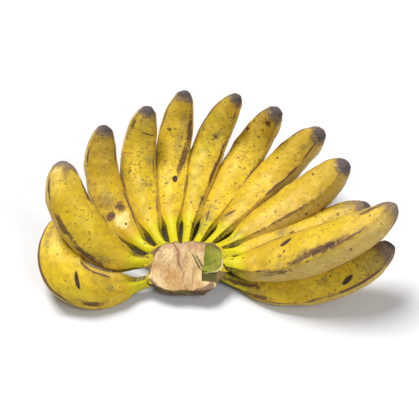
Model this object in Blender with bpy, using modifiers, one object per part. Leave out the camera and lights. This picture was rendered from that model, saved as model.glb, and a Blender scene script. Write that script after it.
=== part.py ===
"""A bunch of short, angular cooking bananas: twelve fingers on one cut crown.

Metres, +Z up. The bunch lies bowl-fashion on a table at z = 0: the crown is at the front with its cut
face towards -Y, and the fingers fan out to the left, the back and the right and curve upwards. The
origin is the middle of the bunch's footprint. Angles in the plan are measured from +X towards +Y.
"""

import math
from typing import NamedTuple

import bmesh
import bpy
import numpy as np
from mathutils import Vector

MM = 0.001
GAP = 0.3 * MM
UP = np.array((0.0, 0.0, 1.0))

# Crown: a squat stump of fused stalks, narrower at its foot, trimmed by the knife
CROWN_CENTRE = (2 * MM, 8 * MM)
CROWN_WIDTH = 78 * MM
CROWN_DEPTH = 44 * MM
CROWN_FOOT = 5 * MM
CROWN_TOP = 38 * MM
CROWN_FOOT_SHARE = 0.72
CROWN_CORNER = 14 * MM
CROWN_CORNER_STEPS = 5
CROWN_ROUNDING = 4 * MM
CROWN_ROUNDING_STEPS = 3


class Cut(NamedTuple):
    """One flat knife cut: a point on it, and the way it faces as plan angle and elevation in degrees."""

    point: tuple
    facing: float
    elevation: float


CROWN_CUTS = (
    Cut((0.0, 29 * MM, 37 * MM), -96.0, 62.0),
    Cut((17 * MM, 5 * MM, 26 * MM), -68.0, 61.0),
    Cut((24 * MM, -4 * MM, 14 * MM), -40.0, -35.0),
)

# Fingers: where the stalks set off, and the section that they all share
LEAD_LENGTH = 44 * MM
LEAD_DROOP = 20.0
STALK_FLATNESS = 0.80
STALK_END = 0.175
BODY_DEPTH = 0.96
RIDGE_CREASE = 0.62
CURVE_STEPS = 200
TANGENT_STEP = 0.01

# Table: the slab that flattens the fingers that the bunch rests on
TABLE_SIDE = 1.0
RESTING = (1, 7, 12)

# Half the width of a finger along its length, as shares of its length and of its half width, for a stalk
# that ends at STALK_END
STATIONS = (0.0, 0.09, 0.175, 0.25, 0.36, 0.50, 0.64, 0.77, 0.88, 0.96, 1.0)
FULLNESS = (0.31, 0.27, 0.31, 0.58, 0.85, 0.98, 1.0, 0.94, 0.80, 0.58, 0.32)

# Section as seen from the stalk: across, and towards the inner face; the five ridges are flagged
SECTION = (
    (0.00, 0.84, False),
    (0.90, 0.46, True),
    (0.98, -0.04, False),
    (0.74, -0.58, True),
    (0.00, -0.96, True),
    (-0.74, -0.58, True),
    (-0.98, -0.04, False),
    (-0.90, 0.46, True),
)


class Finger(NamedTuple):
    """One banana: where its stalk leaves the crown and which way, where its belly and tip lie, and its girth.

    The root is across, back and up from the crown's middle at the table. The belly and the tip are each an
    angle round the crown, a distance from its middle and a height. The stalk takes up the given share of the
    length. The section is rolled about the finger's line, and turns by the twist from root to tip.
    """

    root: tuple
    lead: float
    belly: tuple
    tip: tuple
    width: float
    stalk: float = STALK_END
    roll: float = 0.0
    twist: float = 0.0


# Degrees and millimetres, from the left of the crown round the back to its right
FINGERS = (
    Finger((-28, -3, 16), 200, (-171, 90, 17.6), (154, 121, 32), 44, 0.14, -33, -22),
    Finger((-31, 9, 26), 188, (167, 91, 48), (147, 127, 88), 43, 0.13, -16),
    Finger((-25, 15, 28), 150, (131, 121, 35), (122, 144, 80), 36, 0.16, -3),
    Finger((-18, 17, 29), 122, (114, 118, 29), (104, 151, 80), 36),
    Finger((-10, 17, 30), 103, (98, 124, 24), (91, 169, 80), 37, 0.19),
    Finger((-2, 17, 30), 88, (84, 129, 22.5), (74, 170, 80), 35, 0.19, -4),
    Finger((5, 17, 30), 73, (69, 139, 18.6), (60, 168, 78), 36),
    Finger((12, 17, 30), 56, (54, 139, 24), (44, 171, 76), 38, 0.175, -6),
    Finger((19, 16, 30), 38, (34, 129, 36), (30, 165, 74), 41, 0.175, -14),
    Finger((26, 13, 30), 16, (21, 110, 21), (18, 173, 48), 36, 0.13, 10),
    Finger((32, 6, 27), -4, (1, 104, 44), (9, 182, 78), 50, 0.06, -18, -14),
    Finger((27, 6, 13), -36, (-5, 120, 19.3), (3, 179, 50), 41, 0.15, 22),
)


def plan(degrees):
    """The level unit vector at this plan angle."""
    angle = math.radians(degrees)
    return np.array((math.cos(angle), math.sin(angle), 0.0))


def place(spot):
    """The point at this angle, distance and height from the crown's middle."""
    degrees, reach, height = spot
    return np.array((*CROWN_CENTRE, height * MM)) + reach * MM * plan(degrees)


def crown_place(offsets):
    """The point this far across, back and up from the crown's middle at the table, in millimetres."""
    return np.array((*CROWN_CENTRE, 0.0)) + np.array(offsets) * MM


def centreline(finger):
    """Points along the finger's middle: a cubic curve from inside the crown, through the belly, to the tip."""
    root, belly, tip = crown_place(finger.root), place(finger.belly), place(finger.tip)
    droop = math.radians(LEAD_DROOP)
    first = root + LEAD_LENGTH * (math.cos(droop) * plan(finger.lead) - math.sin(droop) * UP)
    near, far = np.linalg.norm(belly - root), np.linalg.norm(tip - belly)
    t = near / (near + far)
    second = belly - (1 - t) ** 3 * root - 3 * (1 - t) ** 2 * t * first - t**3 * tip
    second /= 3 * (1 - t) * t**2
    t = np.linspace(0.0, 1.0, CURVE_STEPS)[:, None]
    return (1 - t) ** 3 * root + 3 * (1 - t) ** 2 * t * first + 3 * (1 - t) * t**2 * second + t**3 * tip


def rings_of(finger, spread):
    """The finger's cage: one ring of section points at each station, each pushed out by spread."""
    curve = centreline(finger)
    run = np.concatenate(([0.0], np.cumsum(np.linalg.norm(np.diff(curve, axis=0), axis=1))))
    outward = (curve[-1] - curve[0]) * (1, 1, 0)
    hollow = UP - outward / np.linalg.norm(outward)

    def along_curve(share):
        return np.array([np.interp(share * run[-1], run, curve[:, k]) for k in range(3)])

    rings = []
    for station, fullness in zip(STATIONS, FULLNESS):
        share = np.interp(station, (0.0, STALK_END, 1.0), (0.0, finger.stalk, 1.0))
        roll = math.radians(finger.roll + finger.twist * (share - 0.5))
        along = along_curve(min(share + TANGENT_STEP, 1.0)) - along_curve(max(share - TANGENT_STEP, 0.0))
        along /= np.linalg.norm(along)
        inner = hollow - (hollow @ along) * along
        inner /= np.linalg.norm(inner)
        side = np.cross(along, inner)
        inner, side = (
            inner * math.cos(roll) + side * math.sin(roll),
            side * math.cos(roll) - inner * math.sin(roll),
        )
        half = 0.5 * finger.width * MM * fullness
        depth = half * (STALK_FLATNESS if station <= STALK_END else BODY_DEPTH)
        middle = along_curve(share)
        if station in (STATIONS[0], STATIONS[-1]):
            middle = middle + along * math.copysign(spread, station - 0.5)
        rings.append([middle + side * (half + spread) * x + inner * (depth + spread) * y for x, y, _ in SECTION])
    return rings


def finger_mesh(name, finger, spread=0.0):
    """A closed cage lofted through the rings, with its long ridges creased."""
    shape = bmesh.new()
    crease = shape.edges.layers.float.new("crease_edge")
    rings = [[shape.verts.new(point) for point in ring] for ring in rings_of(finger, spread)]
    count = len(SECTION)
    for near, far in zip(rings, rings[1:]):
        for k in range(count):
            following = (k + 1) % count
            shape.faces.new((near[k], near[following], far[following], far[k]))
    shape.faces.new(list(reversed(rings[0])))
    shape.faces.new(rings[-1])
    for near, far in zip(rings[2:], rings[3:]):
        for k, (_, _, ridge) in enumerate(SECTION):
            if ridge:
                shape.edges.get((near[k], far[k]))[crease] = RIDGE_CREASE
    bmesh.ops.recalc_face_normals(shape, faces=shape.faces[:])
    mesh = bpy.data.meshes.new(name)
    shape.to_mesh(mesh)
    shape.free()
    return mesh


def crown_mesh(name, spread=0.0):
    """The tapered block with rounded corners and rims, sliced flat by each knife cut.

    The spread moves every face outwards.
    """
    shape = bmesh.new()
    bmesh.ops.create_cube(shape, size=1.0)
    height = CROWN_TOP - CROWN_FOOT
    bmesh.ops.scale(shape, verts=shape.verts[:], vec=(CROWN_WIDTH, CROWN_DEPTH, height))
    foot = [vert for vert in shape.verts if vert.co.z < 0]
    bmesh.ops.scale(shape, verts=foot, vec=(CROWN_FOOT_SHARE, CROWN_FOOT_SHARE, 1.0))
    bmesh.ops.translate(shape, verts=shape.verts[:], vec=(*CROWN_CENTRE, (CROWN_TOP + CROWN_FOOT) / 2))
    uprights = [edge for edge in shape.edges if abs(edge.verts[0].co.z - edge.verts[1].co.z) > MM]
    bmesh.ops.bevel(
        shape, geom=uprights, offset=CROWN_CORNER, segments=CROWN_CORNER_STEPS, profile=0.5, affect="EDGES"
    )
    rims = [edge for edge in shape.edges if abs(edge.verts[0].co.z - edge.verts[1].co.z) < MM]
    bmesh.ops.bevel(
        shape, geom=rims, offset=CROWN_ROUNDING, segments=CROWN_ROUNDING_STEPS, profile=0.5, affect="EDGES"
    )
    for cut in CROWN_CUTS:
        elevation = math.radians(cut.elevation)
        facing = Vector(math.cos(elevation) * plan(cut.facing)) + Vector((0, 0, math.sin(elevation)))
        geometry = shape.verts[:] + shape.edges[:] + shape.faces[:]
        sliced = bmesh.ops.bisect_plane(
            shape, geom=geometry, plane_co=cut.point, plane_no=facing, clear_outer=True, dist=1e-6
        )
        rim = [item for item in sliced["geom_cut"] if isinstance(item, bmesh.types.BMEdge)]
        bmesh.ops.holes_fill(shape, edges=rim, sides=0)
    bmesh.ops.recalc_face_normals(shape, faces=shape.faces[:])
    if spread:
        shape.normal_update()
        moved = {vert: vert.co + vert.normal * vert.calc_shell_factor() * spread for vert in shape.verts}
        for vert, place in moved.items():
            vert.co = place
    mesh = bpy.data.meshes.new(name)
    shape.to_mesh(mesh)
    shape.free()
    return mesh


def material(name, colour, roughness):
    """A plain surface of this colour."""
    made = bpy.data.materials.new(name)
    made.use_nodes = True
    surface = made.node_tree.nodes["Principled BSDF"]
    surface.inputs["Base Color"].default_value = (*colour, 1.0)
    surface.inputs["Roughness"].default_value = roughness
    surface.inputs["Metallic"].default_value = 0.0
    return made


def placed(name, mesh, collection):
    """A new object holding this mesh, in this collection."""
    made = bpy.data.objects.new(name, mesh)
    collection.objects.link(made)
    return made


def cutter(name, mesh, collection):
    """A helper that only removes material from others."""
    made = placed(name, mesh, collection)
    made.hide_render = True
    made.display_type = "WIRE"
    return made


def rounded(banana):
    """Soften the cage once, keeping its creased ridges."""
    soften = banana.modifiers.new("Roundness", "SUBSURF")
    soften.levels = 1
    soften.render_levels = 1


def trimmed(banana, against):
    """Take away what would lie inside the other piece or its clearance."""
    trim = banana.modifiers.new(f"Clear of {against.name}", "BOOLEAN")
    trim.operation = "DIFFERENCE"
    trim.solver = "EXACT"
    trim.object = against


def table_mesh(name):
    """A slab whose top is the table's surface."""
    shape = bmesh.new()
    bmesh.ops.create_cube(shape, size=TABLE_SIDE)
    bmesh.ops.translate(shape, verts=shape.verts[:], vec=(0, 0, -TABLE_SIDE / 2))
    mesh = bpy.data.meshes.new(name)
    shape.to_mesh(mesh)
    shape.free()
    return mesh


def footprint_middle(pieces):
    """The middle, in the plan, of the box round these pieces as their modifiers leave them."""
    bpy.context.view_layer.update()
    graph = bpy.context.evaluated_depsgraph_get()
    corners = []
    for piece in pieces:
        finished = piece.evaluated_get(graph)
        corners += [finished.matrix_world @ vert.co for vert in finished.data.vertices]
    spans = [(min(c[k] for c in corners), max(c[k] for c in corners)) for k in (0, 1)]
    return [sum(span) / 2 for span in spans]


def main():
    for old in list(bpy.data.objects):
        bpy.data.objects.remove(old)
    bunch = bpy.data.collections.new("bunch_of_bananas")
    cutters = bpy.data.collections.new("cutters")
    bpy.context.scene.collection.children.link(bunch)
    bpy.context.scene.collection.children.link(cutters)

    crown = placed("crown", crown_mesh("crown"), bunch)
    crown.data.materials.append(material("crown_cut", (0.75, 0.52, 0.28), 0.8))
    crown_clearance = cutter("crown_clearance", crown_mesh("crown_clearance", GAP), cutters)
    table = cutter("table", table_mesh("table"), cutters)
    clearances = [
        cutter(f"clearance_{number:02d}", finger_mesh(f"clearance_{number:02d}", finger, GAP), cutters)
        for number, finger in enumerate(FINGERS, start=1)
    ]
    for clearance in clearances:
        rounded(clearance)

    peel = material("peel", (0.80, 0.56, 0.05), 0.5)
    bananas = []
    for number, finger in enumerate(FINGERS, start=1):
        banana = placed(f"banana_{number:02d}", finger_mesh(f"banana_{number:02d}", finger), bunch)
        banana.data.materials.append(peel)
        rounded(banana)
        trimmed(banana, crown_clearance)
        for neighbour in clearances[number : number + 1]:
            trimmed(banana, neighbour)
        if number in RESTING:
            trimmed(banana, table)
        banana.data.shade_smooth()
        bananas.append(banana)

    middle = footprint_middle([crown, *bananas])
    for piece in [crown, *bananas, crown_clearance, *clearances]:
        piece.location = (-middle[0], -middle[1], 0.0)


if __name__ == "__main__":
    main()
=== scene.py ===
"""Looks of a bunch of short, angular cooking bananas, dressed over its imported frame.

Each banana is one lofted skin with its own peel finish, and the crown is one stump trimmed by knife cuts.
"""

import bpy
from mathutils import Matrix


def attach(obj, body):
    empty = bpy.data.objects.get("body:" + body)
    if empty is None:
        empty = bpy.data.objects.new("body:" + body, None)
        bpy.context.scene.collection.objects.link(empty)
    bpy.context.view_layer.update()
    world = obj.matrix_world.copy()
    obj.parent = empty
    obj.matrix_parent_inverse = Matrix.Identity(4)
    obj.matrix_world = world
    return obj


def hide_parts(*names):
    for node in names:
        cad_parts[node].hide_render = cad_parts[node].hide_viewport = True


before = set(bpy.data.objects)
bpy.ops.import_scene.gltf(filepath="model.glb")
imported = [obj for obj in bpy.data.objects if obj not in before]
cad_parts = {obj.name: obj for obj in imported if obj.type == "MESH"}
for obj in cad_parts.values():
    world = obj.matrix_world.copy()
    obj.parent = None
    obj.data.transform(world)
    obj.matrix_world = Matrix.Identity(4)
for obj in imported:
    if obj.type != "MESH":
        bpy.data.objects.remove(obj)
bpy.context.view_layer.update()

import logging
import math
from dataclasses import dataclass, field
from enum import Enum

import bpy
import numpy as np
from mathutils import Vector

LOG = logging.getLogger("bunch")
MM = 0.001
UP = np.array((0.0, 0.0, 1.0))
MIDDLE = np.array((-25.65 * MM, -73.31 * MM, 0.0))
Colour = tuple[float, float, float]
Spot = tuple[float, float, float]
Ends = tuple[float, float]
Socket = bpy.types.NodeSocket
Value = Socket | float | tuple


class MarkKind(Enum):
    """The kinds of blemish on a peel, named as the values that the peel reads."""

    SCAR = "scar"
    BRUISE = "bruise"
    SCRAPE = "scrape"
    # grime marks are partly dirt and partly painted shade on necks that lie in shadow
    GRIME_AND_SHADE = "grime_and_shade"


# Small helpers


def plan(degrees: float) -> np.ndarray:
    """The level unit vector at this plan angle, measured from +X towards +Y."""
    angle = math.radians(degrees)
    return np.array((math.cos(angle), math.sin(angle), 0.0))


def tilted(facing: float, elevation: float) -> np.ndarray:
    """The unit vector with this plan angle and this rise above the level, in degrees."""
    rise = math.radians(elevation)
    return math.cos(rise) * plan(facing) + math.sin(rise) * UP


def ease(low: float, high: float, value: np.ndarray) -> np.ndarray:
    """A smooth step: 0 at low, 1 at high, and 3t^2 - 2t^3 between them."""
    t = np.clip((value - low) / (high - low), 0.0, 1.0)
    return t * t * (3.0 - 2.0 * t)


def plateau(value: np.ndarray, rise: Ends, fall: Ends) -> np.ndarray:
    """1 between two smooth steps, up over the rise and down over the fall, and 0 outside them."""
    return ease(*rise, value) * (1.0 - ease(*fall, value))


def bell(distance: np.ndarray, width: float) -> np.ndarray:
    """A bell curve: e to the power of minus the squared distance in widths."""
    return np.exp(-((distance / width) ** 2))


def ripples(places: np.ndarray, wavelength: float, seed: int, waves: int = 7) -> np.ndarray:
    """Smooth unevenness between about -1 and 1.

    The formula is a sum of sines along seeded random directions, with wavelengths spread round the given one.

    Args:
        places: points, with their three coordinates in the last axis.
        wavelength: the typical distance from crest to crest, in the points' unit.
        seed: picks the directions and phases.
        waves: how many sines are added.

    Returns:
        One value for each point.
    """
    random = np.random.default_rng(seed)
    total = np.zeros(places.shape[:-1])
    for _ in range(waves):
        direction = random.normal(size=3)
        direction /= np.linalg.norm(direction)
        length = wavelength * random.uniform(0.6, 1.6)
        total += np.sin(2.0 * math.pi * (places @ direction) / length + random.uniform(0.0, 2.0 * math.pi))
    return total / math.sqrt(waves)


def grid_faces(rows: int, columns: int) -> np.ndarray:
    """Quads of a grid that is closed round its columns.

    Args:
        rows: number of rings.
        columns: number of points in each ring.

    Returns:
        An array of four corner indices for each quad.
    """
    ring = np.arange(columns)
    following = (ring + 1) % columns
    start = (np.arange(rows - 1) * columns)[:, None]
    corners = (start + ring, start + following, start + columns + following, start + columns + ring)
    return np.stack(corners, axis=-1).reshape(-1, 4)


def placed(name: str, data: bpy.types.ID) -> bpy.types.Object:
    """Put a new object that holds this data into the scene.

    Args:
        name: its name.
        data: its mesh, light or camera.

    Returns:
        The object, at the origin.
    """
    made = bpy.data.objects.new(name, data)
    bpy.context.scene.collection.objects.link(made)
    return made


@dataclass
class Skin:
    """A closed surface of rings between two poles, with values stored at its points.

    Attributes:
        name: name of the mesh object.
        rings: points as rows of rings, shape (rows, columns, 3).
        poles: the first and the last point, which close the two ends.
        values: named arrays of one number or one vector for each ring point.
    """

    name: str
    rings: np.ndarray
    poles: np.ndarray
    values: dict[str, np.ndarray] = field(default_factory=dict)

    def build(self) -> bpy.types.Object:
        """Put the rings and poles into a mesh object whose faces look outwards.

        Returns:
            The new object, linked into the scene.
        """
        rows, columns, _ = self.rings.shape
        count = rows * columns
        points = np.concatenate((self.rings.reshape(-1, 3), self.poles))
        quads = grid_faces(rows, columns)
        ring = np.arange(columns)
        following = (ring + 1) % columns
        last_row = count - columns
        first = np.stack((np.full(columns, count), following, ring), axis=1)
        last = np.stack((np.full(columns, count + 1), last_row + ring, last_row + following), axis=1)
        triangles = np.concatenate((first, last))
        corner = points[quads]
        normals = np.cross(corner[:, 2] - corner[:, 0], corner[:, 3] - corner[:, 1])
        if np.einsum("ij,ij->", normals, corner.mean(axis=1) - points.mean(axis=0)) < 0.0:
            quads = quads[:, ::-1]
            triangles = triangles[:, ::-1]
        mesh = bpy.data.meshes.new(self.name)
        mesh.from_pydata(points.tolist(), [], quads.tolist() + triangles.tolist())
        for label, value in self.values.items():
            self._store(mesh, label, value)
        mesh.shade_smooth()
        mesh.update()
        return placed(self.name, mesh)

    def _store(self, mesh: bpy.types.Mesh, label: str, value: np.ndarray) -> None:
        """Store one named array at the points, with each pole taking the mean of its ring.

        Args:
            mesh: the skin's mesh.
            label: the array's name.
            value: one number or one vector for each ring point.
        """
        ends = np.stack((value[0].mean(axis=0), value[-1].mean(axis=0)))
        if value.ndim == 3:
            flat = np.concatenate((value.reshape(-1, 3), ends))
            mesh.attributes.new(label, "FLOAT_VECTOR", "POINT").data.foreach_set("vector", flat.ravel())
        else:
            flat = np.concatenate((value.ravel(), ends))
            mesh.attributes.new(label, "FLOAT", "POINT").data.foreach_set("value", flat)


# Material building


class Nodes:
    """A node tree with short calls for the nodes that the finishes share."""

    def __init__(self, tree: bpy.types.NodeTree) -> None:
        """Hold a material's or a group's node tree."""
        self.tree = tree

    def add(self, kind: str, inputs: dict | None = None, **settings: object) -> bpy.types.Node:
        """Add a node.

        Args:
            kind: its type.
            inputs: what its inputs take, by their name or number.
            settings: its properties by name.

        Returns:
            The new node.
        """
        node = self.tree.nodes.new(kind)
        for key, value in settings.items():
            setattr(node, key, value)
        for key, value in (inputs or {}).items():
            self.plug(node.inputs[key], value)
        return node

    def plug(self, socket: Socket, value: Value) -> None:
        """Link a socket, or set its default value.

        Args:
            socket: the input.
            value: another node's output, a number, a colour or a vector.
        """
        if isinstance(value, Socket):
            self.tree.links.new(value, socket)
        elif isinstance(value, tuple) and len(value) == 3 and socket.type == "RGBA":
            socket.default_value = (*value, 1.0)
        else:
            socket.default_value = value

    def chain(self, operation: str, *values: Value) -> Value:
        """Join some numbers by one arithmetic step after another.

        Args:
            operation: the step's name in the Math node.
            values: the numbers, in order.

        Returns:
            The result.
        """
        total = values[0]
        for value in values[1:]:
            total = self.add("ShaderNodeMath", {0: total, 1: value}, operation=operation).outputs[0]
        return total

    def times(self, *factors: Value) -> Value:
        """The product of some numbers."""
        return self.chain("MULTIPLY", *factors)

    def plus(self, *terms: Value) -> Value:
        """The sum of some numbers."""
        return self.chain("ADD", *terms)

    def weighted(self, *parts: tuple[Value, float]) -> Value:
        """The sum of some values, each times its own weight."""
        return self.plus(*(self.times(value, weight) for value, weight in parts))

    def most(self, *values: Value) -> Value:
        """The largest of some numbers."""
        return self.chain("MAXIMUM", *values)

    def span(self, value: Value, *limits: Value) -> Socket:
        """Carry a value smoothly from one pair of limits to another, or to 0 and 1 where only one is given."""
        inputs = dict(enumerate((value, *limits)))
        return self.add("ShaderNodeMapRange", inputs, interpolation_type="SMOOTHSTEP").outputs[0]

    def mix(self, share: Value, first: Value, second: Value) -> Socket:
        """One colour with a second one laid over it, by a share from 0 to 1."""
        return self.add("ShaderNodeMix", {"Factor": share, 6: first, 7: second}, data_type="RGBA").outputs[2]

    def attribute(self, name: str, output: str = "Fac") -> Socket:
        """A value stored on the piece's points."""
        return self.add("ShaderNodeAttribute", attribute_name=name).outputs[output]

    def stretch(self, vector: Value, scale: Spot, shift: Spot = (0.0, 0.0, 0.0)) -> Socket:
        """A pattern's coordinates, scaled and then shifted along each axis."""
        return self.add("ShaderNodeMapping", {"Vector": vector, "Scale": scale, "Location": shift}).outputs[0]

    def noise(self, vector: Value, scale: float, detail: float = 4.0, rough: float = 0.55) -> Socket:
        """Cloudy noise between 0 and 1, with this many clouds in a metre and this many finer layers."""
        inputs = {"Vector": vector, "Scale": scale, "Detail": detail, "Roughness": rough}
        return self.add("ShaderNodeTexNoise", inputs).outputs["Fac"]

    def warp(self, vector: Value, by: Value, amount: Spot) -> Socket:
        """Coordinates pushed aside by a pattern, this far along each axis."""
        return self.add("ShaderNodeVectorMath", {0: by, 1: amount, 2: vector}, operation="MULTIPLY_ADD").outputs[0]

    def bump(self, height: Value, strength: float, depth: float) -> Socket:
        """The normal that a height gives, where a height of 1 stands for this depth in metres."""
        return self.add("ShaderNodeBump", {"Strength": strength, "Distance": depth, "Height": height}).outputs[0]

    def group(self, tree: bpy.types.NodeTree, **inputs: Value) -> Socket:
        """The first output of a shared group with these inputs."""
        return self.add("ShaderNodeGroup", inputs, node_tree=tree).outputs[0]


class Coats:
    """Coats of colour laid over each other, each by its own mask."""

    def __init__(self, nodes: Nodes, base: Value) -> None:
        """Start with a base colour."""
        self.nodes = nodes
        self.colour = base

    def lay(self, colour: Value, *shares: Value) -> None:
        """Lay one more colour over the others, by the product of its masks."""
        self.colour = self.nodes.mix(self.nodes.times(*shares), self.colour, colour)


def new_group(name: str, inputs: dict[str, str], outputs: dict[str, str]) -> tuple[Nodes, dict, dict]:
    """Start a shader node group.

    Args:
        name: the group's name.
        inputs: socket types by input name.
        outputs: socket types by output name.

    Returns:
        Its nodes, its input sockets by name, and its output sockets by name.
    """
    tree = bpy.data.node_groups.new(name, "ShaderNodeTree")
    for way, sockets in (("INPUT", inputs), ("OUTPUT", outputs)):
        for label, kind in sockets.items():
            tree.interface.new_socket(label, in_out=way, socket_type=f"NodeSocket{kind}")
    nodes = Nodes(tree)
    start = nodes.add("NodeGroupInput")
    end = nodes.add("NodeGroupOutput")
    return nodes, {label: start.outputs[label] for label in inputs}, {label: end.inputs[label] for label in outputs}


def freckles_group() -> bpy.types.NodeTree:
    """Build the group that scatters small dark freckles of uneven size.

    Returns:
        The group: from a place and a density it gives a mask.
    """
    nodes, given, out = new_group("Freckles", {"Place": "Vector", "Density": "Float"}, {"Mask": "Float"})
    total: Value = 0.0
    for scale, radius, strength in ((85.0, 0.12, 1.0), (170.0, 0.19, 1.0), (340.0, 0.25, 0.9), (700.0, 0.27, 0.7)):
        wobble = nodes.add("ShaderNodeTexNoise", {"Vector": given["Place"], "Scale": scale * 3.0})
        pushed = nodes.warp(given["Place"], wobble.outputs["Color"], (0.55 / scale,) * 3)
        dots = nodes.add("ShaderNodeTexVoronoi", {"Vector": pushed, "Scale": scale})
        parts = nodes.add("ShaderNodeSeparateColor", {0: dots.outputs["Color"]})
        kept = nodes.chain("LESS_THAN", parts.outputs[0], given["Density"])
        size = nodes.span(parts.outputs[1], 0.0, 1.0, 0.5 * radius, 1.3 * radius)
        dot = nodes.span(nodes.chain("DIVIDE", dots.outputs["Distance"], size), 1.3, 0.6)
        total = nodes.most(total, nodes.times(dot, kept, strength))
    nodes.plug(out["Mask"], total)
    return nodes.tree


def ragged_group() -> bpy.types.NodeTree:
    """Build the group that gives a soft mask a ragged, blotchy edge.

    Returns:
        The group: from a soft mask, a place, a grain and a blur it gives an uneven mask.
    """
    inputs = {"Soft": "Float", "Place": "Vector", "Grain": "Float", "Blur": "Float"}
    nodes, given, out = new_group("Ragged edge", inputs, {"Mask": "Float"})
    fine = nodes.noise(given["Place"], 520.0, 6.0, 0.7)
    broad = nodes.noise(given["Place"], 170.0, 3.0, 0.5)
    cloud = nodes.weighted((fine, 0.45), (broad, 0.55))
    lifted = nodes.times(nodes.chain("SUBTRACT", cloud, 0.5), given["Grain"])
    low, high = nodes.chain("SUBTRACT", 0.5, given["Blur"]), nodes.plus(0.5, given["Blur"])
    nodes.plug(out["Mask"], nodes.span(nodes.plus(given["Soft"], lifted), low, high))
    return nodes.tree


@dataclass(frozen=True)
class Groups:
    """The node groups that the finishes share.

    Attributes:
        freckles: scatters freckles.
        ragged: gives a mask a ragged edge.
    """

    freckles: bpy.types.NodeTree
    ragged: bpy.types.NodeTree


@dataclass(frozen=True)
class PeelFinish:
    """The peel of one banana.

    Attributes:
        seed: shifts every pattern, so no two bananas match.
        freckles: share of the freckles that show, from 0 to 1.
        dull_and_shade: how far the yellow has dulled towards ochre; its amount for each banana also paints that
            banana lighter or darker, as painted light and shade.
        tan: how strongly the side faces are painted tan, as painted shade of faces turned from the light.
        green: how green the body's shaded parts are.
        ridge: how brown the ridges are.
        tip: how far the dark dry tip has spread.
    """

    seed: int
    freckles: float = 0.35
    dull_and_shade: float = 0.2
    tan: float = 0.75
    green: float = 0.3
    ridge: float = 0.8
    tip: float = 0.5

    YELLOW = (0.74, 0.485, 0.008)
    PALE = (0.80, 0.585, 0.030)
    AMBER = (0.60, 0.34, 0.010)
    OCHRE = (0.42, 0.25, 0.022)
    OLIVE = (0.40, 0.36, 0.010)
    TAN = (0.56, 0.40, 0.110)
    SAP = (0.66, 0.55, 0.002)
    LEAF = (0.36, 0.38, 0.002)
    BROWN = (0.085, 0.040, 0.022)
    MAUVE = (0.20, 0.115, 0.090)
    SCAR = (0.050, 0.026, 0.020)
    ASH = (0.170, 0.125, 0.100)
    SOOT = (0.075, 0.060, 0.060)
    SCRAPED = (0.80, 0.62, 0.22)
    RUSSET = (0.27, 0.145, 0.030)
    # dark brown of the painted shade on the stalks' sides, in the slots between them
    SLOT_SHADE = (0.065, 0.036, 0.004)
    # colour of the grime marks, which also serve as painted shade
    GRIME_AND_SHADE = (0.17, 0.135, 0.055)
    SPECULAR = 0.28
    BUMP_STRENGTH = 0.4
    BUMP_DEPTH = 0.4 * MM

    def build(self, name: str, groups: Groups) -> bpy.types.Material:
        """Make the peel material.

        Args:
            name: the material's name.
            groups: the shared node groups.

        Returns:
            The material, which reads the values stored on the banana's points.
        """
        made = bpy.data.materials.new(name)
        made.use_nodes = True
        nodes = Nodes(made.node_tree)
        paint = PeelPaint(self, nodes, groups)
        paint.ripen()
        paint.green_stalk()
        speckle = paint.freckle()
        dark = nodes.most(paint.brown_ridges(), paint.blemish(), paint.dry_tip())
        surface = made.node_tree.nodes["Principled BSDF"]
        nodes.plug(surface.inputs["Base Color"], paint.coats.colour)
        rough = nodes.plus(nodes.span(paint.patches, 0.3, 0.7, 0.44, 0.58), nodes.times(dark, 0.2))
        nodes.plug(surface.inputs["Roughness"], rough)
        surface.inputs["Specular IOR Level"].default_value = self.SPECULAR
        pores = nodes.noise(paint.place, paint.PORES, 3.0, 0.6)
        height = nodes.weighted((paint.grain, 0.5), (pores, 0.25), (paint.strands, 0.45))
        height = nodes.chain("SUBTRACT", height, nodes.times(nodes.most(speckle, dark), 0.6))
        nodes.plug(surface.inputs["Normal"], nodes.bump(height, self.BUMP_STRENGTH, self.BUMP_DEPTH))
        return made


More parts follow.
